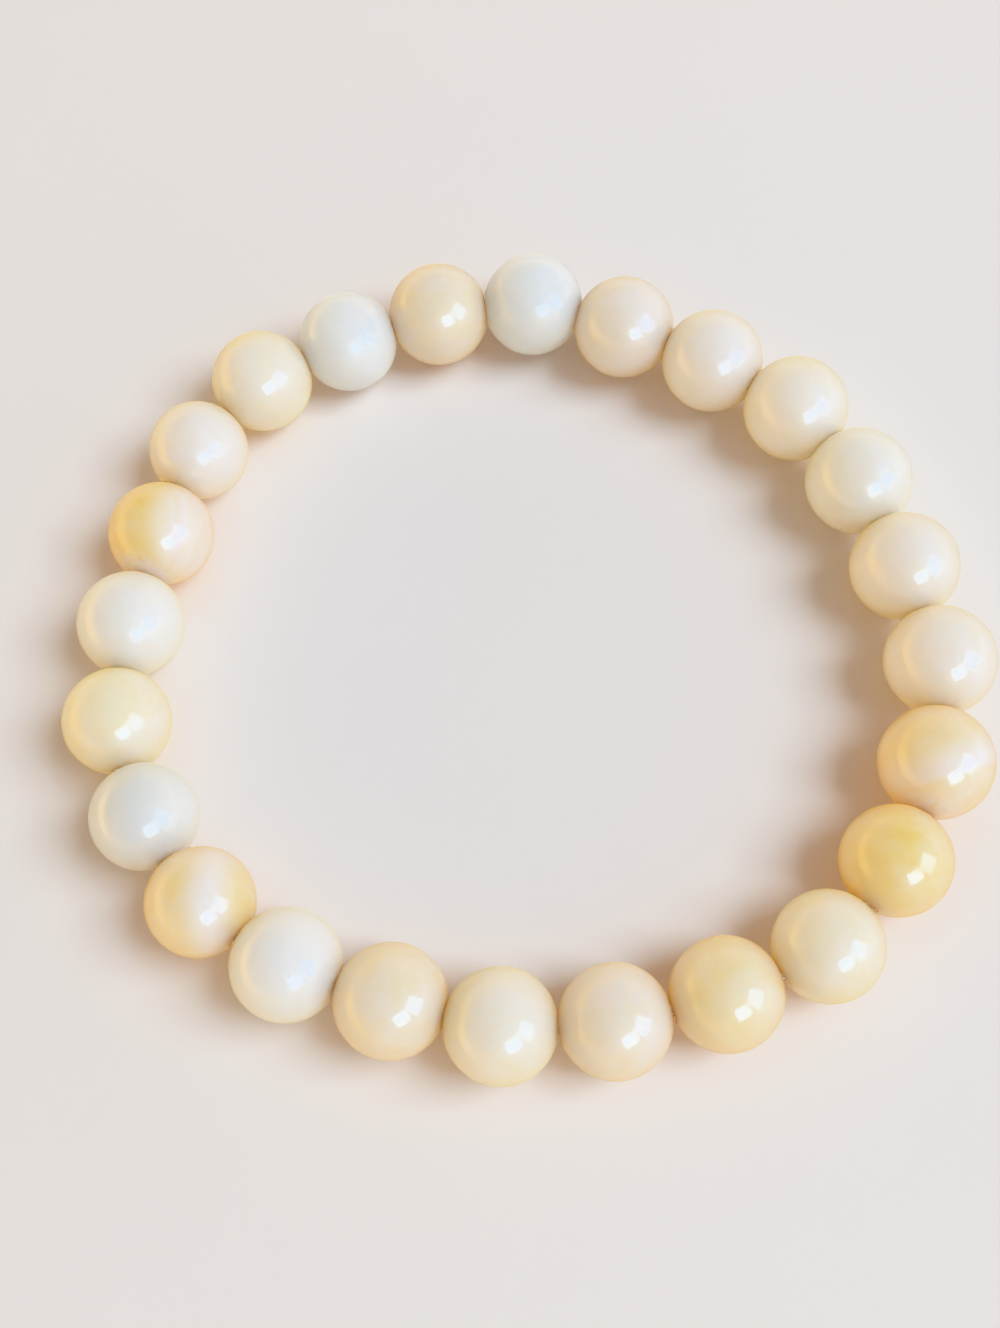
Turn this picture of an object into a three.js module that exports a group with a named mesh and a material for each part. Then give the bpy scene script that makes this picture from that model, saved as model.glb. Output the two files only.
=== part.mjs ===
// A stretch bracelet: one row of round, polished stone beads on an endless loop of clear elastic
// cord, laid down by hand on a flat surface, so the loop is a little out of round.
// Millimetres, +Z up. The origin is on the surface, under the middle of the bracelet's box.
import * as THREE from "three";

// The beads.
const BEAD_LENGTH = 7.74; // along the hole, a little shorter than the bead is across
const BEAD_GAP = 0.04; // between two beads, where they come closest
const HOLE_RADIUS = 0.56;
const RIM_RADIUS = 0.72; // where the countersunk edge of the hole meets the round of the bead
const COUNTERSINK = 0.14; // how deep that edge goes into the hole
const SIDES = 18; // round the hole, even, so that a flat lies on top and another underneath
const STEPS = 9; // from rim to rim, odd, so that the middle one is parallel to the hole

// The cord.
const CORD_RADIUS = 0.25;
const CORD_SIDES = 8;
const CORD_STEPS_PER_BEAD = 4;

// The stones, from the palest to the deepest: colour, and how rough the polish is.
const STONES = {
  white: { color: 0xe4e6e6, roughness: 0.2 },
  grey: { color: 0xd9d5c6, roughness: 0.22 },
  ivory: { color: 0xece6d2, roughness: 0.2 },
  cream: { color: 0xefe0bd, roughness: 0.2 },
  lemon: { color: 0xf2dda5, roughness: 0.2 },
  peach: { color: 0xecd2a6, roughness: 0.22 },
  honey: { color: 0xefcb8c, roughness: 0.2 },
  amber: { color: 0xefc487, roughness: 0.18 },
};

// The beads in their order on the cord, clockwise as seen from above, from the back of the loop.
//   stone   which of the stones it is cut from
//   across  its diameter, square to the hole
//   turn    how many degrees the row turns to the right at this bead
const BEADS = [
  { stone: "white", across: 8.1, turn: 23 },
  { stone: "peach", across: 8.0, turn: 8 },
  { stone: "cream", across: 8.0, turn: 10 },
  { stone: "lemon", across: 8.1, turn: 20 },
  { stone: "ivory", across: 8.1, turn: 13 },
  { stone: "cream", across: 8.1, turn: 7 },
  { stone: "cream", across: 8.1, turn: 22 },
  { stone: "amber", across: 8.2, turn: 18 },
  { stone: "honey", across: 7.9, turn: 15 },
  { stone: "lemon", across: 7.8, turn: 25 },
  { stone: "honey", across: 7.9, turn: 11 },
  { stone: "peach", across: 7.9, turn: 11 },
  { stone: "lemon", across: 8.0, turn: 15 },
  { stone: "peach", across: 8.0, turn: 6 },
  { stone: "ivory", across: 8.0, turn: 16 },
  { stone: "amber", across: 7.9, turn: 19 },
  { stone: "grey", across: 7.9, turn: 16 },
  { stone: "lemon", across: 8.0, turn: 23 },
  { stone: "ivory", across: 8.1, turn: 10 },
  { stone: "amber", across: 8.1, turn: 5 },
  { stone: "cream", across: 7.8, turn: 20 },
  { stone: "lemon", across: 8.0, turn: 25 },
  { stone: "white", across: 7.9, turn: 10 },
  { stone: "peach", across: 8.1, turn: 12 },
];
const FIRST_HEADING = -18; // degrees from +X: the way the row leaves the first bead

// The angle round a bead's outline, from the hole, at which the hole's rim begins.
const rimAngle = (across) => Math.asin(RIM_RADIUS / (across / 2));

// How far a bead reaches from its middle towards its neighbour. Its hole points halfway between the
// two neighbours, so it is half of the bead's turn away from each of them. What touches is the
// point of the round that faces the neighbour, or the rim where the hole has taken that point away.
function reach({ across, turn }) {
  const along = (BEAD_LENGTH / 2) * Math.cos(THREE.MathUtils.degToRad(turn / 2));
  const aside = (across / 2) * Math.sin(THREE.MathUtils.degToRad(turn / 2));
  const facing = Math.max(Math.atan2(aside, along), rimAngle(across));
  return along * Math.cos(facing) + aside * Math.sin(facing);
}

// The middle of each bead. The row is stepped out bead by bead, turning at each one, so that each
// bead all but touches the next. The small gap left where the last step should meet the first bead
// is shared out over them all.
function layOutRow() {
  const middles = [];
  const at = new THREE.Vector3();
  let heading = FIRST_HEADING;
  BEADS.forEach((bead, i) => {
    if (i > 0) heading -= bead.turn;
    middles.push(at.clone().setZ(bead.across / 2));
    const angle = THREE.MathUtils.degToRad(heading);
    const step = reach(bead) + BEAD_GAP + reach(BEADS[(i + 1) % BEADS.length]);
    at.add(new THREE.Vector3(Math.cos(angle), Math.sin(angle), 0).multiplyScalar(step));
  });
  const gap = at.clone();
  middles.forEach((middle, i) => middle.addScaledVector(gap, -i / BEADS.length));
  return middles;
}

// Half of a bead's outline and the wall of its hole, as one closed profile turned about the Y axis.
// The round is an ellipse from rim to rim. It is drawn a little large, so that the flats between its
// corners touch the true round, and the bead rests on one of them at its full size.
function beadProfile(across) {
  const rim = rimAngle(across);
  const step = (Math.PI - 2 * rim) / STEPS;
  const toFlats = 1 / (Math.cos(Math.PI / SIDES) * Math.cos(step / 2));
  const profile = [];
  for (let i = 0; i <= STEPS; i++) {
    const angle = rim + i * step;
    const radius = (across / 2) * toFlats * Math.sin(angle);
    profile.push(new THREE.Vector2(radius, (-BEAD_LENGTH / 2) * Math.cos(angle)));
  }
  const holeEnd = (BEAD_LENGTH / 2) * Math.cos(rim) - COUNTERSINK;
  profile.push(new THREE.Vector2(HOLE_RADIUS, holeEnd));
  profile.push(new THREE.Vector2(HOLE_RADIUS, -holeEnd));
  profile.push(profile[0].clone());
  return profile;
}

// One bead, its hole along the line from the bead before to the bead after.
function makeBead(bead, name, before, middle, after) {
  const halfSide = Math.PI / SIDES; // starting half a side round puts a flat on top and underneath
  const geometry = new THREE.LatheGeometry(beadProfile(bead.across), SIDES, halfSide);
  const material = new THREE.MeshStandardMaterial({ ...STONES[bead.stone], metalness: 0 });
  const mesh = new THREE.Mesh(geometry, material);
  mesh.name = name;
  mesh.position.copy(middle);
  mesh.rotation.z = Math.atan2(after.y - before.y, after.x - before.x) - Math.PI / 2;
  return mesh;
}

// The cord runs through the middle of every bead and of every gap between two beads.
function makeCord(middles) {
  const route = [];
  middles.forEach((middle, i) => {
    const next = middles[(i + 1) % middles.length];
    const after = middles[(i + 2) % middles.length];
    const before = middles.at(i - 1);
    const toMouth = BEAD_LENGTH / 2;
    const leaving = next.clone().sub(before).setZ(0).setLength(toMouth).add(middle);
    const entering = middle.clone().sub(after).setZ(0).setLength(toMouth).add(next);
    route.push(middle, leaving.lerp(entering, 0.5));
  });
  const curve = new THREE.CatmullRomCurve3(route, true);
  const steps = CORD_STEPS_PER_BEAD * middles.length;
  const mesh = new THREE.Mesh(
    new THREE.TubeGeometry(curve, steps, CORD_RADIUS, CORD_SIDES, true),
    new THREE.MeshStandardMaterial({ color: 0xf2f2ee, roughness: 0.15, metalness: 0 }),
  );
  mesh.name = "elastic_cord";
  return mesh;
}

function makeBracelet() {
  const row = new THREE.Group();
  const middles = layOutRow();
  BEADS.forEach((bead, i) => {
    const name = "bead_" + String(i + 1).padStart(2, "0");
    const after = middles[(i + 1) % middles.length];
    row.add(makeBead(bead, name, middles.at(i - 1), middles[i], after));
  });
  row.add(makeCord(middles));

  // The middle of the row's box goes over the origin.
  const centre = new THREE.Box3().setFromObject(row, true).getCenter(new THREE.Vector3());
  row.position.set(-centre.x, -centre.y, 0);
  const bracelet = new THREE.Group();
  bracelet.add(row);
  return bracelet;
}

const bracelet = makeBracelet();
export default bracelet;
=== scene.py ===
# %% [markdown]
# # A stretch bracelet of milky stone beads
#
# Twenty-four round beads of a pale, cloudy stone sit on a loop of clear elastic cord. The bracelet
# lies flat on a pale surface, seen from above and a little from the front, in soft window light.
#
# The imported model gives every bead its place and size. This lesson turns each faceted solid into a
# smooth drilled bead, cuts it from its own bit of rough stone, and lights it so that the light sinks
# in and comes out warmer.

import math

import bpy
import numpy as np
from mathutils import Matrix, Vector


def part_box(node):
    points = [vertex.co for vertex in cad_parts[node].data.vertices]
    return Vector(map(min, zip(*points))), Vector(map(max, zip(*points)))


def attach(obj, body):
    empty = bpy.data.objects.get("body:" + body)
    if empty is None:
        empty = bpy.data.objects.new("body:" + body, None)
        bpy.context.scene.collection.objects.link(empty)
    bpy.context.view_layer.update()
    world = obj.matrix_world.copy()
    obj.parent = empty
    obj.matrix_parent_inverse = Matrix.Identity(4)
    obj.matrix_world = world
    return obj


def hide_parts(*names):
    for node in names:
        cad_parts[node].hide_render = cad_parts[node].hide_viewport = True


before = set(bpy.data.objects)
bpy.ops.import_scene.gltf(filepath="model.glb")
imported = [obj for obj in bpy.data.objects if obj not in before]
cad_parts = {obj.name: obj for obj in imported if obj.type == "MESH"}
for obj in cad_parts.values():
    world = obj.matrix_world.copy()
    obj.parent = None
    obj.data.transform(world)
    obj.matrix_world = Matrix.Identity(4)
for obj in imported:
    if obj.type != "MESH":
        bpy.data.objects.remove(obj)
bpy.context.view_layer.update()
MM = 0.001  # the model is in metres, and the sizes below are easier to read in millimetres

bead_names = sorted(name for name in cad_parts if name.startswith("bead_"))
print(len(bead_names), "beads in the model")

# %% [markdown]
# ## The camera
#
# The camera comes first, because each later step is judged through it. It stands above the front
# of the bracelet and looks down steeply, with a slightly wide lens, so the near beads look larger
# than the far ones.
#
# A camera looks along its own -Z. Its matrix is built from three directions: right, up and back.

# %% Camera
CAMERA_AT = Vector((3.74, -38.66, 102.55)) * MM
LOOKS_AT = Vector((-2.06, -1.08, 0.0)) * MM


def looking(place, target, up_hint):
    """The matrix of something at a place that looks at a target: right is forward crossed with the
    up hint, up is right crossed with forward, and back is against forward."""
    forward = (target - place).normalized()
    right = forward.cross(up_hint).normalized()
    turn = Matrix((right, right.cross(forward), -forward)).transposed()
    return Matrix.Translation(place) @ turn.to_4x4()


camera_data = bpy.data.cameras.new("camera")
camera_data.lens = 38.3
camera_data.sensor_width = 36.0
camera_data.clip_start = 0.005
camera = bpy.data.objects.new("camera", camera_data)
camera.matrix_world = looking(CAMERA_AT, LOOKS_AT, Vector((0, 1, 0)))
bpy.context.collection.objects.link(camera)
bpy.context.scene.camera = camera
bpy.context.scene.view_settings.view_transform = "Khronos PBR Neutral"  # true colours, soft glints
print("the camera is", round((CAMERA_AT - LOOKS_AT).length / MM), "mm from the bracelet")

# %% [markdown]
# ## The floor and the light
#
# The bracelet lies on a plain pale surface by a window. One lamp would light it, but polished beads
# are small mirrors, and each shows what is round it. So the light is in three parts:
#
# - A broad, cool window lamp high on the right lights the stone and the floor, and casts the soft
#   shadows. It doesn't show in the gloss.
# - Two smaller panes with a bar between them do the opposite. They show as glints, and light nothing.
# - The room has a dim ceiling and a bright low band of wall, warm on the left. A low light falls
#   on the sides of the beads but hardly on the floor, so it keeps the beads' edges from going dark
#   and leaves the shadows deep.


# %% Helpers for nodes and colours
def linear(red, green, blue):
    """A colour given in 0 to 255 as on a screen, as the light it stands for: each part is
    raised to about 2.2, with a straight piece near black."""
    parts = np.array((red, green, blue)) / 255
    light = np.where(parts > 0.04045, ((parts + 0.055) / 1.055) ** 2.4, parts / 12.92)
    return (*(float(part) for part in light), 1.0)


def node(tree, kind, inputs=None, **settings):
    """A new node of a kind, with its settings, and each input set to a value or joined to a socket."""
    made = tree.nodes.new(kind)
    for name, value in settings.items():
        setattr(made, name, value)
    for key, value in (inputs or {}).items():
        if isinstance(value, bpy.types.NodeSocket):
            tree.links.new(value, made.inputs[key])
        else:
            made.inputs[key].default_value = value
    return made


def calculate(tree, operation, *values, clamp=False):
    """The result of a Math node on one to three values or sockets."""
    made = node(tree, "ShaderNodeMath", dict(enumerate(values)), operation=operation)
    made.use_clamp = clamp
    return made.outputs[0]


def blend_colours(tree, share, first, second):
    """A colour between the first and the second, by a share from 0 to 1. The Mix node keeps a set
    of sockets for each kind of value, and those for colours are inputs 6 and 7 and output 2."""
    return node(tree, "ShaderNodeMix", {0: share, 6: first, 7: second}, data_type="RGBA").outputs[2]


def ramp(tree, value, low, high):
    """0 below low, 1 above high, and a smooth step between."""
    inputs = {"Value": value, "From Min": low, "From Max": high}
    made = node(tree, "ShaderNodeMapRange", inputs, interpolation_type="SMOOTHSTEP")
    return made.outputs["Result"]


print("linear light for a mid grey:", round(linear(128, 128, 128)[0], 3))

# %% Room light
# The brightness and colour of each part of the room, in linear light.
LEFT_WALL = (4.7, 3.15, 1.15, 1)
RIGHT_WALL = (2.2, 2.25, 2.35, 1)
END_WALLS = (1.6, 1.25, 0.80, 1)
CEILING = (0.295, 0.305, 0.315, 1)
# What the camera sees instead, past the floor's edge.
HORIZON = (0.70, 0.65, 0.60, 1)
BACKDROP = (0.78, 0.76, 0.74, 1)

world = bpy.data.worlds.new("room")
bpy.context.scene.world = world
world.use_nodes = True
tree = world.node_tree
tree.nodes.clear()
direction = node(tree, "ShaderNodeTexCoord").outputs["Generated"]
across, along, height = node(tree, "ShaderNodeSeparateXYZ", {0: direction}).outputs
walls = blend_colours(tree, ramp(tree, across, -0.8, 0.8), LEFT_WALL, RIGHT_WALL)
ends = ramp(tree, calculate(tree, "ABSOLUTE", along), 0.1, 0.9)
walls = blend_colours(tree, ends, walls, END_WALLS)
room = blend_colours(tree, ramp(tree, height, 0.10, 0.45), walls, CEILING)
backdrop = blend_colours(tree, ramp(tree, height, 0.0, 0.3), HORIZON, BACKDROP)
seen = node(tree, "ShaderNodeLightPath").outputs["Is Camera Ray"]
room = blend_colours(tree, seen, room, backdrop)
background = node(tree, "ShaderNodeBackground", {"Color": room, "Strength": 1.0})
node(tree, "ShaderNodeOutputWorld", {"Surface": background.outputs[0]})
print("the room is made of", len(tree.nodes), "nodes")


# %% Window panes
def pane(name, direction, distance, width, height, brightness, colour, mirrored):
    """An area light that faces the bracelet. Brightness is what a mirror would show of it, so the
    power is that times pi times the pane's area. A mirrored pane shows in the gloss and adds no
    other light, and the rest do the lighting and don't show in the gloss."""
    data = bpy.data.lights.new(name, "AREA")
    data.shape = "RECTANGLE"
    data.size, data.size_y = width, height
    data.energy = brightness * math.pi * width * height
    data.color = colour
    lamp = bpy.data.objects.new(name, data)
    place = Vector(direction).normalized() * distance
    lamp.matrix_world = looking(place, Vector((0, 0, 0)), Vector((0, 0, 1)))
    lamp.visible_glossy, lamp.visible_diffuse = mirrored, not mirrored
    bpy.context.collection.objects.link(lamp)
    print(name, "gives", round(data.energy, 2), "W")


pane("window", (0.62, -0.02, 0.78), 2.4, 1.35, 1.35, 9.6, (0.77, 0.86, 1.0), mirrored=False)
pane("near_pane", (0.43, -0.66, 0.61), 0.8, 0.36, 0.32, 20.5, (0.66, 0.82, 1.0), mirrored=True)
pane("far_pane", (0.80, -0.24, 0.56), 0.8, 0.40, 0.44, 10.5, (0.54, 0.73, 1.0), mirrored=True)


# %% Floor
def floor_disc(radius, rings, sides):
    """A flat disc about the origin: rings grow as the square of their number, so they are fine
    under the bracelet, and each point is at radius times (number / rings) squared."""
    far = radius * (np.arange(rings + 1) / rings) ** 2
    angle = 2 * np.pi * np.arange(sides) / sides
    flat = np.stack([far[:, None] * np.cos(angle), far[:, None] * np.sin(angle)], axis=-1)
    return np.concatenate([flat, np.zeros((rings + 1, sides, 1))], axis=-1)


def quads_of(rows, columns, rows_meet):
    """The corners of each four-sided face of a grid whose columns run round and meet. Where the
    rows meet too, the grid closes like a ring."""
    index = np.arange(rows * columns).reshape(rows, columns)
    beside = np.roll(index, -1, axis=1)
    corners = [index, beside, np.roll(beside, -1, axis=0), np.roll(index, -1, axis=0)]
    quads = np.stack(corners, axis=-1)
    return (quads if rows_meet else quads[:-1]).reshape(-1, 4)


def make_piece(name, grid, rows_meet=True):
    """A smooth object from a grid of points, in millimetres, with its place in its mesh."""
    quads = quads_of(*grid.shape[:2], rows_meet)
    points = (grid.reshape(-1, 3) * MM).astype(np.float32)
    mesh = bpy.data.meshes.new(name)
    mesh.vertices.add(len(points))
    mesh.vertices.foreach_set("co", points.ravel())
    mesh.loops.add(quads.size)
    mesh.loops.foreach_set("vertex_index", quads.ravel().astype(np.int32))
    mesh.polygons.add(len(quads))
    mesh.polygons.foreach_set("loop_start", np.arange(0, quads.size, 4, dtype=np.int32))
    mesh.update(calc_edges=True)
    mesh.shade_smooth()
    piece = bpy.data.objects.new(name, mesh)
    bpy.context.collection.objects.link(piece)
    return piece


def new_material(name):
    """An empty material, and its node tree."""
    material = bpy.data.materials.new(name)
    material.use_nodes = True
    material.node_tree.nodes.clear()
    return material, material.node_tree


GLOW_SHARE = 0.16  # how much of what shows is light from the far side


def finish_material(tree, inputs, glow=None, lets_through=None):
    """A Principled BSDF with these inputs, joined to the material's output. A glow is the colour of
    the light that comes in from the far side, and has GLOW_SHARE of the surface. What it lets
    through tints its shadow once at each surface, so twice for a closed piece."""
    surface = node(tree, "ShaderNodeBsdfPrincipled", inputs).outputs[0]
    if glow:
        far_side = node(tree, "ShaderNodeBsdfTranslucent", {"Color": glow}).outputs[0]
        surface = node(tree, "ShaderNodeMixShader", {0: GLOW_SHARE, 1: surface, 2: far_side}).outputs[0]
    if lets_through:
        clear = node(tree, "ShaderNodeBsdfTransparent", {"Color": lets_through}).outputs[0]
        in_shadow = node(tree, "ShaderNodeLightPath").outputs["Is Shadow Ray"]
        surface = node(tree, "ShaderNodeMixShader", {0: in_shadow, 1: surface, 2: clear}).outputs[0]
    node(tree, "ShaderNodeOutputMaterial", {"Surface": surface})


floor = make_piece("floor", floor_disc(2500, 24, 96), rows_meet=False)
material, tree = new_material("pale floor")
place = node(tree, "ShaderNodeTexCoord").outputs["Object"]
mottle = node(tree, "ShaderNodeTexNoise", {"Vector": place, "Scale": 60.0, "Detail": 3.0})
tone = blend_colours(tree, mottle.outputs["Fac"], (0.843, 0.776, 0.711, 1), (0.859, 0.792, 0.727, 1))
finish_material(tree, {"Base Color": tone, "Roughness": 0.85})
floor.data.materials.append(material)
print("the floor is", round(floor.dimensions.x, 1), "m across")

# %% [markdown]
# ## The shape of a bead
#
# A bead is ground almost round and drilled through. The two ends of the hole are eased with a small
# countersink, so they don't cut the cord. A sphere with a hole cut by a boolean would leave ragged
# edges, so the bead is a profile turned about the hole: over the round, down the eased rim, through
# the hole and back. The profile closes on itself, so there are no poles.
#
# The taut cord presses the beads together, and each is worn a little flat where it meets the next.
# That flat is made last, on the finished round, because it faces the neighbour and not the hole.

# %% A drilled bead
HOLE_RADIUS = 0.56
RIM_RADIUS = 0.72
RIM_DEPTH = 0.24
RIM_EASE = 0.09  # how far the rim's curve follows the round, and then the hole's wall
WALL_EASE = 0.12
AROUND = 96
OVER_THE_ROUND = 52
ROUND_THE_RIM = 7
THROUGH_THE_HOLE = 6
WOBBLE = 0.012  # how far a hand-ground bead strays from true
GAP = 0.04  # between the flats of two beads
SOFT = 0.03  # how softly a flat's edge is rounded


def bead_profile(radius):
    """Points along the hole and away from it, over the round, down one rim and back through the hole.

    The round is an arc: along is minus the radius times the cosine of an angle, and away is the
    radius times its sine. A rim is a cubic Bezier curve that leaves the arc along its slope and ends
    along the wall of the hole."""
    start = math.asin(RIM_RADIUS / radius)
    angle = np.linspace(start, math.pi - start, OVER_THE_ROUND)
    along, away = -radius * np.cos(angle), radius * np.sin(angle)

    slope = RIM_EASE * np.array((math.sin(start), -math.cos(start)))
    edge = np.array((along[-1], away[-1]))
    wall = np.array((along[-1] - RIM_DEPTH, HOLE_RADIUS))
    share = np.linspace(0, 1, ROUND_THE_RIM + 2)[1:, None]
    rim = (
        (1 - share) ** 3 * edge
        + 3 * (1 - share) ** 2 * share * (edge + slope)
        + 3 * (1 - share) * share**2 * (wall + (WALL_EASE, 0))
        + share**3 * wall
    )
    hole = np.linspace(wall[0], -wall[0], THROUGH_THE_HOLE + 2)[1:-1]
    other_rim = rim[::-1] * (-1, 1)
    return np.concatenate(
        [
            np.stack([along, away], axis=-1),
            rim,
            np.stack([hole, np.full_like(hole, HOLE_RADIUS)], axis=-1),
            other_rim,
        ]
    )


def drilled_bead(radius, draws):
    """The profile turned about the hole, which lies along X, with a slight wobble: each point is
    drawn in by up to WOBBLE, as a sum of slow waves over the bead with random directions."""
    along, away = bead_profile(radius).T
    turn = 2 * np.pi * (np.arange(AROUND) + 0.5) / AROUND
    x = np.broadcast_to(along[:, None], (len(along), AROUND))
    grid = np.stack([x, away[:, None] * np.cos(turn), away[:, None] * np.sin(turn)], axis=-1)
    waves = draws.normal(size=(4, 3)) * 0.35
    phases = draws.uniform(0, 2 * np.pi, 4)
    stray = np.sin(grid @ waves.T + phases).mean(axis=-1, keepdims=True)
    return grid * (1 - WOBBLE * (1 + stray) / 2 / radius)


def pressed(grid, towards, reach):
    """The grid with a flat where it meets a neighbour. Past the reach in a direction, a point is
    drawn back to the reach: by SOFT times the logarithm of 1 + e to the power (past / SOFT)."""
    past = (grid @ towards - reach)[..., None]
    return grid - SOFT * np.logaddexp(0, past / SOFT) * towards


print(len(bead_profile(4.0)), "points in the profile of an 8 mm bead, turned", AROUND, "times")

# %% [markdown]
# ## Cutting each bead from the rough
#
# Every bead is cut from another part of the rough stone, so its clouds and layers lie another way.
# A texture on Object coordinates would run on from bead to bead, as if the row were one carved
# block. Instead each point carries its place in its own bit of rough: the bead turned and moved
# there. A few beads have a silky white layer that shows as a band, partly painted sheen: the band
# is made whiter on the window's side, where its silky shine would catch the light. Each of their
# points also carries how silky it is, which falls off with its distance from the middle of the layer.

# %% The stones
# For each bead: its slot, how much of the deeper stone it has, and how much milky cloud.
STONES = {
    "bead_01": ("stone_white", 0.25, 0.55),
    "bead_02": ("stone_peach", 0.16, 0.30),
    "bead_03": ("stone_cream", 0.35, 0.45),
    "bead_04": ("stone_lemon", 0.25, 0.55),
    "bead_05": ("stone_ivory", 0.55, 0.35),
    "bead_06": ("stone_cream", 0.60, 0.20),
    "bead_07": ("stone_cream", 0.50, 0.35),
    "bead_08": ("stone_amber", 0.45, 0.35),
    "bead_09": ("stone_honey", 0.55, 0.18),
    "bead_10": ("stone_lemon", 0.55, 0.25),
    "bead_11": ("stone_honey", 0.10, 0.30),
    "bead_12": ("stone_peach", 0.45, 0.25),
    "bead_13": ("stone_lemon", 0.30, 0.25),
    "bead_14": ("stone_peach", 0.60, 0.20),
    "bead_15": ("stone_ivory", 0.30, 0.45),
    "bead_16": ("stone_amber", 0.50, 0.18),
    "bead_17": ("stone_grey", 0.35, 0.35),
    "bead_18": ("stone_lemon", 0.55, 0.12),
    "bead_19": ("stone_ivory", 0.50, 0.30),
    "bead_20": ("stone_amber", 0.80, 0.14),
    "bead_21": ("stone_cream", 0.40, 0.30),
    "bead_22": ("stone_lemon", 0.45, 0.20),
    "bead_23": ("stone_white", 0.20, 0.55),
    "bead_24": ("stone_peach", 0.50, 0.18),
}

# The silky layers, white in the stone and partly painted sheen: which way is across the layer, how
# far its middle is from the bead's, and how far it fades out on the near side and on the far side,
# in millimetres.
SILK_AND_SHEEN_BANDS = {
    "bead_08": ((-0.30, 0.93, 0.20), -0.9, 0.5, 2.1),
    "bead_15": ((0.80, -0.45, 0.30), 1.6, 2.0, 2.0),
    "bead_16": ((0.97, -0.02, 0.10), 1.7, 1.6, 1.2),
    "bead_20": ((0.95, -0.10, 0.30), 3.2, 1.9, 2.0),
    "bead_23": ((0.75, -0.55, 0.30), 1.8, 2.4, 2.0),
}

# Every bead is made whiter round each end of the hole, where it meets its neighbour: painted light,
# standing for light that comes through the neighbour into the contact. Four ends have a stronger,
# wider whitening, partly a white bruise the drill left in the stone and partly painted light: 1 at
# the end towards the next bead and -1 at the other, and how far it spreads in millimetres.
BRUISES_AND_GLOW = {"bead_07": (1, 2.0), "bead_08": (1, 2.6), "bead_17": (-1, 1.9), "bead_20": (-1, 2.6)}
# Painted light round the ends of every bead's hole, where it meets its neighbour: how strong, and how far
# it spreads in millimetres.
FAINT_PAINTED_GLOW = 0.42
PAINTED_GLOW_SPREAD = 2.0
print(len(STONES), "stones,", len(SILK_AND_SHEEN_BANDS), "silky and", len(BRUISES_AND_GLOW), "plainly bruised")


def unit(vector):
    """A vector at length one."""
    return np.asarray(vector, dtype=float) / np.linalg.norm(vector)


def middle_of(name):
    """The middle of a node's box, in millimetres."""
    low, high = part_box(name)
    return np.array((low + high) / 2) / MM


def random_turn(draws):
    """A random rotation matrix: the turns that bring three random directions square to each other."""
    square, upper = np.linalg.qr(draws.normal(size=(3, 3)))
    return square * np.sign(np.diag(upper))


def store(piece, name, kind, values):
    """Keep a value for each point of a piece, for its material to read."""
    attribute = piece.data.attributes.new(name, kind, "POINT")
    field = "vector" if kind == "FLOAT_VECTOR" else "value"
    attribute.data.foreach_set(field, np.ascontiguousarray(values, dtype=np.float32).ravel())


# %% [markdown]
# ## The stone itself
#
# The stone is a milky, translucent one: light goes a few millimetres into it, and the blue is lost
# first, so the shaded side looks honey-coloured and the lit side almost white. Glass with fog inside
# would be truest but slow and noisy. Four cheaper effects stand for it:
#
# - Subsurface scattering spreads the light inside the stone, red a little further than blue.
# - A share of the surface glows with light from the far side, in the colour that comes through.
# - A soft sheen of that colour lightens the bead's outline.
# - A bead tints its own shadow instead of blocking all the light.
#
# What differs inside the stone is one node group that every stone uses: soft clouds, thin layers, a
# silky band where a bead has one, partly painted sheen, the drill's bruises with painted light round
# the ends of the hole where beads meet, and small flecks.


# %% The clouded stone group
def new_group(name, takes, gives):
    """A shader node group with named inputs and outputs, and its input and output nodes."""
    group = bpy.data.node_groups.new(name, "ShaderNodeTree")
    for label, (kind, default) in takes.items():
        socket = group.interface.new_socket(label, in_out="INPUT", socket_type=kind)
        socket.default_value = default
    for label, kind in gives.items():
        group.interface.new_socket(label, in_out="OUTPUT", socket_type=kind)
    entry = group.nodes.new("NodeGroupInput")
    leave = group.nodes.new("NodeGroupOutput")
    return group, entry.outputs, leave.inputs


COLOUR, VALUE = "NodeSocketColor", "NodeSocketFloat"
clouded_stone, takes, gives = new_group(
    "clouded stone",
    {
        "Pale": (COLOUR, (0.8, 0.8, 0.7, 1)),
        "Deep": (COLOUR, (0.8, 0.6, 0.4, 1)),
        "Milk": (COLOUR, (0.9, 0.9, 0.9, 1)),
        "Cloud size": (VALUE, 0.22),
        "Layers": (VALUE, 0.5),
    },
    {"Color": COLOUR, "Roughness": VALUE, "Height": VALUE},
)
tree = clouded_stone
rough = node(tree, "ShaderNodeAttribute", attribute_name="rough").outputs["Vector"]
depth = node(tree, "ShaderNodeAttribute", attribute_name="depth").outputs["Fac"]
cloud = node(tree, "ShaderNodeAttribute", attribute_name="cloud").outputs["Fac"]
silk_and_sheen = node(tree, "ShaderNodeAttribute", attribute_name="silk_and_sheen").outputs["Fac"]
drill = node(tree, "ShaderNodeAttribute", attribute_name="drill").outputs["Fac"]
bruise_and_painted_glow = node(tree, "ShaderNodeAttribute", attribute_name="bruise_and_painted_glow").outputs["Fac"]

# Clouds: a slow noise, bent by itself so that it curls.
clouds = node(
    tree,
    "ShaderNodeTexNoise",
    {"Vector": rough, "Scale": takes["Cloud size"], "Detail": 3.0, "Distortion": 0.8},
).outputs["Fac"]
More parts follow.
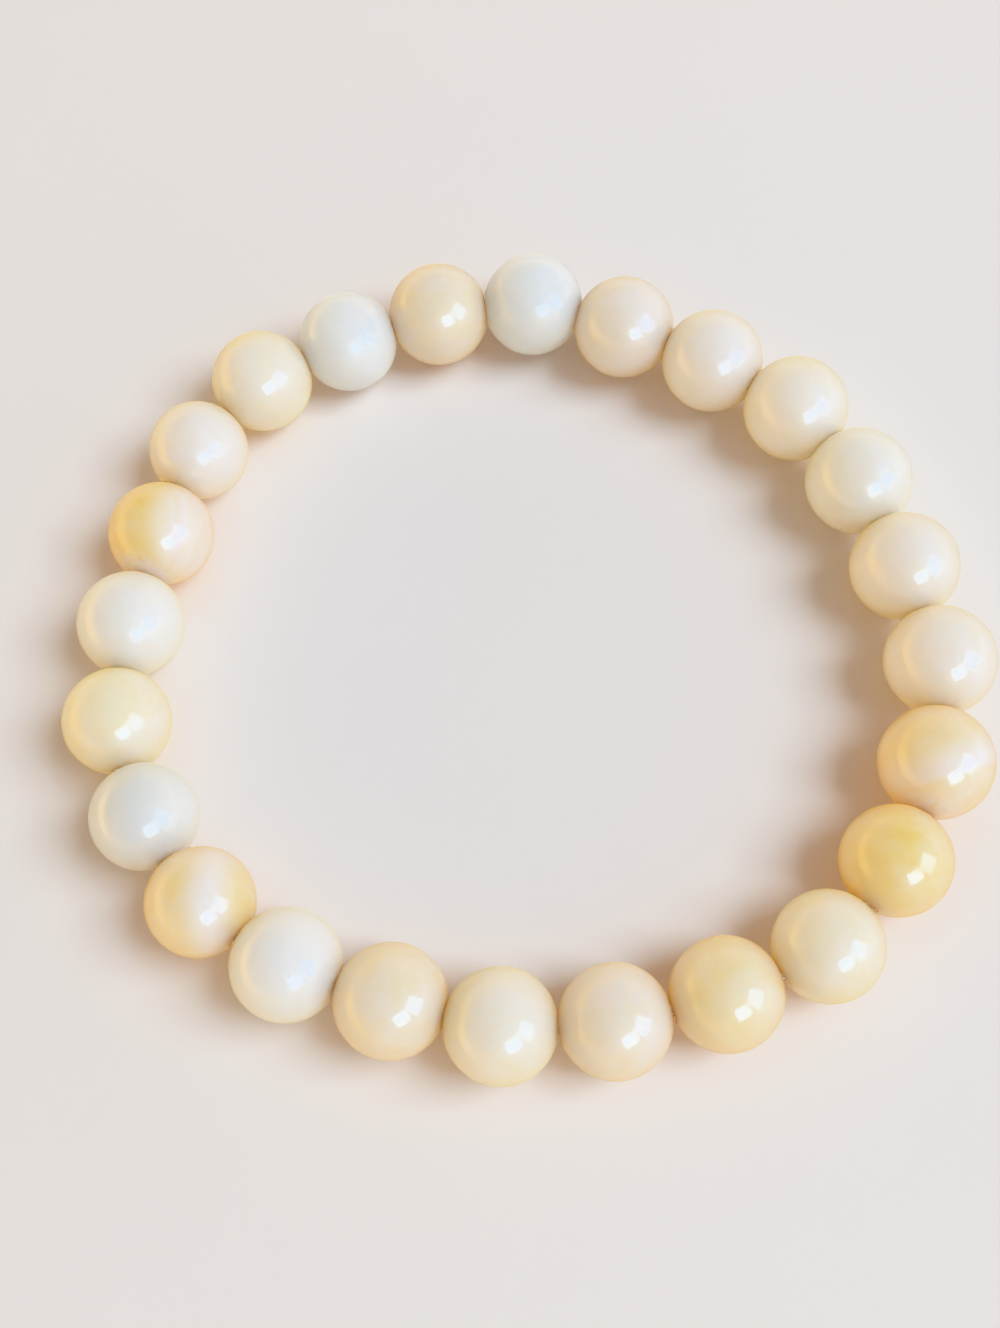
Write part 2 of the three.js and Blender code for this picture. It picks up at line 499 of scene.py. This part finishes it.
# Layers: the same stone, squeezed along one direction so that the clouds lie in sheets.
squeezed = node(tree, "ShaderNodeMapping", {"Vector": rough, "Scale": (0.12, 0.12, 0.75)})
layers = node(
    tree,
    "ShaderNodeTexNoise",
    {"Vector": squeezed.outputs[0], "Scale": 1.0, "Detail": 4.0, "Distortion": 1.2},
).outputs["Fac"]
fine = node(
    tree, "ShaderNodeTexNoise", {"Vector": rough, "Scale": 2.2, "Detail": 4.0, "Roughness": 0.6}
).outputs["Fac"]
mixed = calculate(tree, "MULTIPLY_ADD", calculate(tree, "SUBTRACT", layers, 0.5), takes["Layers"], clouds)
mixed = calculate(tree, "MULTIPLY_ADD", calculate(tree, "SUBTRACT", fine, 0.5), 0.18, mixed)
deep_share = calculate(tree, "SUBTRACT", mixed, 0.5)
deep_share = calculate(tree, "MULTIPLY_ADD", deep_share, 0.8, depth, clamp=True)
body = blend_colours(tree, deep_share, takes["Pale"], takes["Deep"])

# Milk: where the clouds are thin the stone is whiter, and a silky layer is whitest, partly as
# painted sheen.
milk_share = calculate(tree, "SUBTRACT", calculate(tree, "SUBTRACT", 1.0, mixed), 0.5)
milk_share = calculate(tree, "MULTIPLY_ADD", milk_share, 0.8, cloud, clamp=True)
milk_share = calculate(tree, "MULTIPLY", milk_share, 0.7)
streaks = calculate(tree, "MULTIPLY_ADD", ramp(tree, layers, 0.3, 0.7), 0.25, 0.75)
streaked = calculate(tree, "MULTIPLY", silk_and_sheen, streaks)
milk_share = calculate(tree, "MAXIMUM", milk_share, streaked)
# Painted light round the ends of the hole where beads meet, and the drill's bruises, turn the stone to
# milk, broken up by the fine noise.
bruise_and_glow_share = calculate(tree, "MULTIPLY", bruise_and_painted_glow, ramp(tree, fine, 0.25, 0.5))
milk_share = calculate(tree, "MAXIMUM", milk_share, bruise_and_glow_share)
colour = blend_colours(tree, milk_share, body, takes["Milk"])

# Flecks: a few small whitish grains inside the stone.
cells = node(tree, "ShaderNodeTexVoronoi", {"Vector": rough, "Scale": 0.55})
fleck = ramp(tree, cells.outputs["Distance"], 0.16, 0.03)
some = ramp(tree, node(tree, "ShaderNodeSeparateXYZ", {0: cells.outputs["Color"]}).outputs[0], 0.72, 0.78)
fleck = calculate(tree, "MULTIPLY", calculate(tree, "MULTIPLY", fleck, some), 0.35)
colour = blend_colours(tree, fleck, colour, takes["Milk"])
tree.links.new(colour, gives["Color"])

# Polish: even, a little duller in the softer clouds, and matt where the drill has bitten.
polish = calculate(tree, "MULTIPLY_ADD", fine, 0.10, 0.38)
polish = calculate(tree, "MULTIPLY_ADD", drill, 0.3, polish, clamp=True)
tree.links.new(polish, gives["Roughness"])

# Height: the polish leaves a faint orange-peel, and the drill leaves small chips.
peel = node(tree, "ShaderNodeTexNoise", {"Vector": rough, "Scale": 0.9, "Detail": 2.0})
chips = node(tree, "ShaderNodeTexNoise", {"Vector": rough, "Scale": 9.0, "Detail": 3.0})
rise = calculate(tree, "MULTIPLY", calculate(tree, "MULTIPLY", chips.outputs["Fac"], drill), 0.5)
rise = calculate(tree, "MULTIPLY_ADD", peel.outputs["Fac"], 0.3, rise)
tree.links.new(rise, gives["Height"])
print("the clouded stone group has", len(tree.nodes), "nodes")


# %% The stone finishes
# For each slot: the pale stone, the deeper stone, the milk in it, and the light that comes through.
FINISHES = {
    "stone_white": ((217, 232, 251), (236, 237, 232), (244, 254, 254), (240, 235, 212)),
    "stone_grey": ((213, 219, 220), (216, 216, 204), (232, 242, 248), (238, 228, 195)),
    "stone_ivory": ((228, 238, 248), (238, 234, 215), (245, 254, 254), (250, 235, 178)),
    "stone_cream": ((233, 242, 253), (246, 234, 207), (253, 254, 254), (255, 230, 140)),
    "stone_lemon": ((238, 242, 240), (254, 230, 180), (253, 254, 254), (255, 232, 130)),
    "stone_peach": ((233, 234, 231), (247, 223, 178), (252, 254, 254), (255, 222, 132)),
    "stone_honey": ((252, 229, 182), (254, 212, 128), (254, 254, 254), (255, 214, 104)),
    "stone_amber": ((247, 233, 211), (254, 204, 95), (249, 254, 254), (255, 216, 118)),
}


def stone_material(slot):
    """Polished translucent stone: the clouded colour, light that sinks in, and a clear gloss."""
    pale, deep, milk, through = (linear(*colour) for colour in FINISHES[slot])
    material, tree = new_material(slot.replace("_", " "))
    inside = node(tree, "ShaderNodeGroup", node_tree=clouded_stone)
    for label, colour in (("Pale", pale), ("Deep", deep), ("Milk", milk)):
        inside.inputs[label].default_value = colour
    bump = node(
        tree,
        "ShaderNodeBump",
        {"Height": inside.outputs["Height"], "Strength": 0.12, "Distance": 0.05 * MM},
    )
    finish_material(
        tree,
        {
            "Base Color": inside.outputs["Color"],
            "Roughness": inside.outputs["Roughness"],
            "Normal": bump.outputs[0],
            "IOR": 1.62,
            "Specular IOR Level": 0.25,
            "Subsurface Weight": 1.0,
            "Subsurface Radius": (1.0, 0.8, 0.6),
            "Subsurface Scale": 9.0 * MM,
            "Coat Weight": 1.0,
            "Coat Roughness": 0.125,
            "Coat IOR": 1.6,
            "Sheen Weight": 0.65,
            "Sheen Roughness": 0.65,
            "Sheen Tint": through,
        },
        glow=through,
        lets_through=(0.36, 0.19, 0.08, 1),
    )
    return material


stone_materials = {slot: stone_material(slot) for slot in FINISHES}
print(len(stone_materials), "stone finishes")

# %% [markdown]
# ## Making the beads
#
# Each bead stands for its node. The middle of the node's box is the middle of the bead, and the
# height of the box is how far the bead is across. The hole points from the bead before to the bead
# after.

# %% Beads
FIRST_SEED = 100
ROUGH_BLOCK = 90  # a bead is cut up to this far from the middle of the rough, in millimetres

middles = np.array([middle_of(name) for name in bead_names])
radii = middles[:, 2]  # each bead rests on the floor, so its middle is a radius above it
ahead = np.roll(middles, -1, axis=0) - np.roll(middles, 1, axis=0)
ahead[:, 2] = 0


def reach_to(number, other):
    """Where two rounds of radius r and s at a distance d cross: the direction from the first to the
    second, and the distance (d d + r r - s s) / (2 d), less half of the gap."""
    step = middles[other] - middles[number]
    distance = np.linalg.norm(step)
    reach = (distance**2 + radii[number] ** 2 - radii[other] ** 2) / (2 * distance)
    return step / distance, reach - GAP / 2


def make_bead(number, name):
    """A bead in its place, with what its stone needs to know kept on its points."""
    draws = np.random.default_rng(FIRST_SEED + number)
    slot, depth, cloud = STONES[name]
    local = drilled_bead(radii[number], draws)
    forward = unit(ahead[number])
    placed = local @ np.array([forward, np.cross((0, 0, 1), forward), (0, 0, 1)])
    for other in (number - 1, (number + 1) % len(bead_names)):
        placed = pressed(placed, *reach_to(number, other))

    piece = make_piece(name + "_stone", placed + middles[number])
    in_the_rough = placed @ random_turn(draws) + draws.uniform(-ROUGH_BLOCK, ROUGH_BLOCK, 3)
    store(piece, "rough", "FLOAT_VECTOR", in_the_rough)
    store(piece, "depth", "FLOAT", np.full(placed.shape[:2], depth))
    store(piece, "cloud", "FLOAT", np.full(placed.shape[:2], cloud))
    away = np.hypot(local[..., 1], local[..., 2])
    store(piece, "drill", "FLOAT", np.clip((RIM_RADIUS + 0.12 - away) / 0.2, 0, 1))
    silk_and_sheen = np.zeros(placed.shape[:2])
    if name in SILK_AND_SHEEN_BANDS:
        across_layer, middle, near, far = SILK_AND_SHEEN_BANDS[name]
        past = placed @ unit(across_layer) - middle
        silk_and_sheen = np.exp(-((past / np.where(past > 0, far, near)) ** 2))
        # Painted sheen: the silky band is made whiter towards the window, where its shine would catch the
        # light.
        silk_and_sheen *= 0.76 + 0.24 * placed[..., 0] / radii[number]  # whiter on the window's side
    # Painted light round both ends of the hole, where the bead meets its neighbours; at four ends also a
    # white bruise from the drill.
    bruise_and_painted_glow = FAINT_PAINTED_GLOW * np.exp(-((away / PAINTED_GLOW_SPREAD) ** 2))
    if name in BRUISES_AND_GLOW:
        side, spread = BRUISES_AND_GLOW[name]
        bruise_and_painted_glow = np.maximum(bruise_and_painted_glow, (side * local[..., 0] > 0) * np.exp(-((away / spread) ** 4)))
    store(piece, "bruise_and_painted_glow", "FLOAT", bruise_and_painted_glow)
    store(piece, "silk_and_sheen", "FLOAT", silk_and_sheen)

    piece.data.materials.append(stone_materials[slot])
    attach(piece, "root")
    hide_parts(name)
    return piece


beads = [make_bead(number, name) for number, name in enumerate(bead_names)]
print(len(beads), "beads of", len(beads[0].data.polygons), "faces each")

# %% [markdown]
# ## The cord
#
# A clear elastic cord runs through the holes. It hardly shows, only as a glint between two beads, so
# it is a plain round tube on a smooth closed curve through the middle of every bead and gap.

# %% The clear cord
CORD_RADIUS = 0.25
CORD_SIDES = 16
STEPS_BETWEEN = 6
MOUTH = 0.96  # how far along the hole its mouth is, as a share of the radius


def closed_curve(knots, steps):
    """A smooth closed curve through the knots, by the Catmull-Rom rule: between two knots it is a
    cubic whose slope at each is half the step from the knot before to the knot after."""
    share = (np.arange(steps) / steps)[None, :, None]
    before, at, after, beyond = (np.roll(knots, shift, axis=0)[:, None] for shift in (1, 0, -1, -2))
    curve = 0.5 * (
        2 * at
        + (after - before) * share
        + (2 * before - 5 * at + 4 * after - beyond) * share**2
        + (3 * at - before - 3 * after + beyond) * share**3
    )
    return curve.reshape(-1, 3)


def tube(path, radius, sides):
    """A round tube along a nearly level closed path: each ring lies square to the path, with one
    of its directions level and the other the cross of that with the path."""
    along = np.roll(path, -1, axis=0) - np.roll(path, 1, axis=0)
    along /= np.linalg.norm(along, axis=1, keepdims=True)
    level = np.cross((0, 0, 1), along)
    level /= np.linalg.norm(level, axis=1, keepdims=True)
    upward = np.cross(along, level)
    turn = 2 * np.pi * np.arange(sides) / sides
    ring = np.cos(turn)[:, None] * level[:, None] + np.sin(turn)[:, None] * upward[:, None]
    return path[:, None] + radius * ring


mouth = ahead / np.linalg.norm(ahead, axis=1, keepdims=True) * radii[:, None] * MOUTH
gaps = (middles + mouth + np.roll(middles - mouth, -1, axis=0)) / 2
knots = np.stack([middles, gaps], axis=1).reshape(-1, 3)
cord_path = closed_curve(knots, STEPS_BETWEEN)
cord = make_piece("clear_cord", tube(cord_path, CORD_RADIUS, CORD_SIDES))

material, tree = new_material("clear elastic")
place = node(tree, "ShaderNodeTexCoord").outputs["Object"]
haze = node(tree, "ShaderNodeTexNoise", {"Vector": place, "Scale": 900.0, "Detail": 2.0})
tint = blend_colours(tree, haze.outputs["Fac"], linear(236, 236, 230), linear(248, 248, 246))
gloss = calculate(tree, "MULTIPLY_ADD", haze.outputs["Fac"], 0.12, 0.08)
finish_material(
    tree,
    {"Base Color": tint, "Roughness": gloss, "IOR": 1.45, "Transmission Weight": 0.9},
)
cord.data.materials.append(material)
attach(cord, "root")
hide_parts("elastic_cord")
length = np.linalg.norm(np.roll(cord_path, -1, axis=0) - cord_path, axis=1).sum()
print("the cord is", round(float(length), 1), "mm round")

# %% [markdown]
# ## Checking and finishing
#
# The surfaces must face outwards. A closed surface that faces outwards has a positive volume,
# summed over its faces as a sixth of the corners' triple product.


# %% Check the pieces
def volume_of(piece):
    """The volume inside a closed mesh, in cubic millimetres."""
    mesh = piece.data
    mesh.calc_loop_triangles()
    points = np.empty(len(mesh.vertices) * 3)
    mesh.vertices.foreach_get("co", points)
    corners = np.empty(len(mesh.loop_triangles) * 3, dtype=np.int32)
    mesh.loop_triangles.foreach_get("vertices", corners)
    a, b, c = points.reshape(-1, 3)[corners.reshape(-1, 3)].transpose(1, 0, 2) / MM
    return float(np.einsum("ij,ij->", a, np.cross(b, c)) / 6)


for piece in (*beads, cord):
    assert volume_of(piece) > 0, piece.name + " faces inwards"
print("the beads hold", round(sum(volume_of(bead) for bead in beads)), "cubic millimetres")
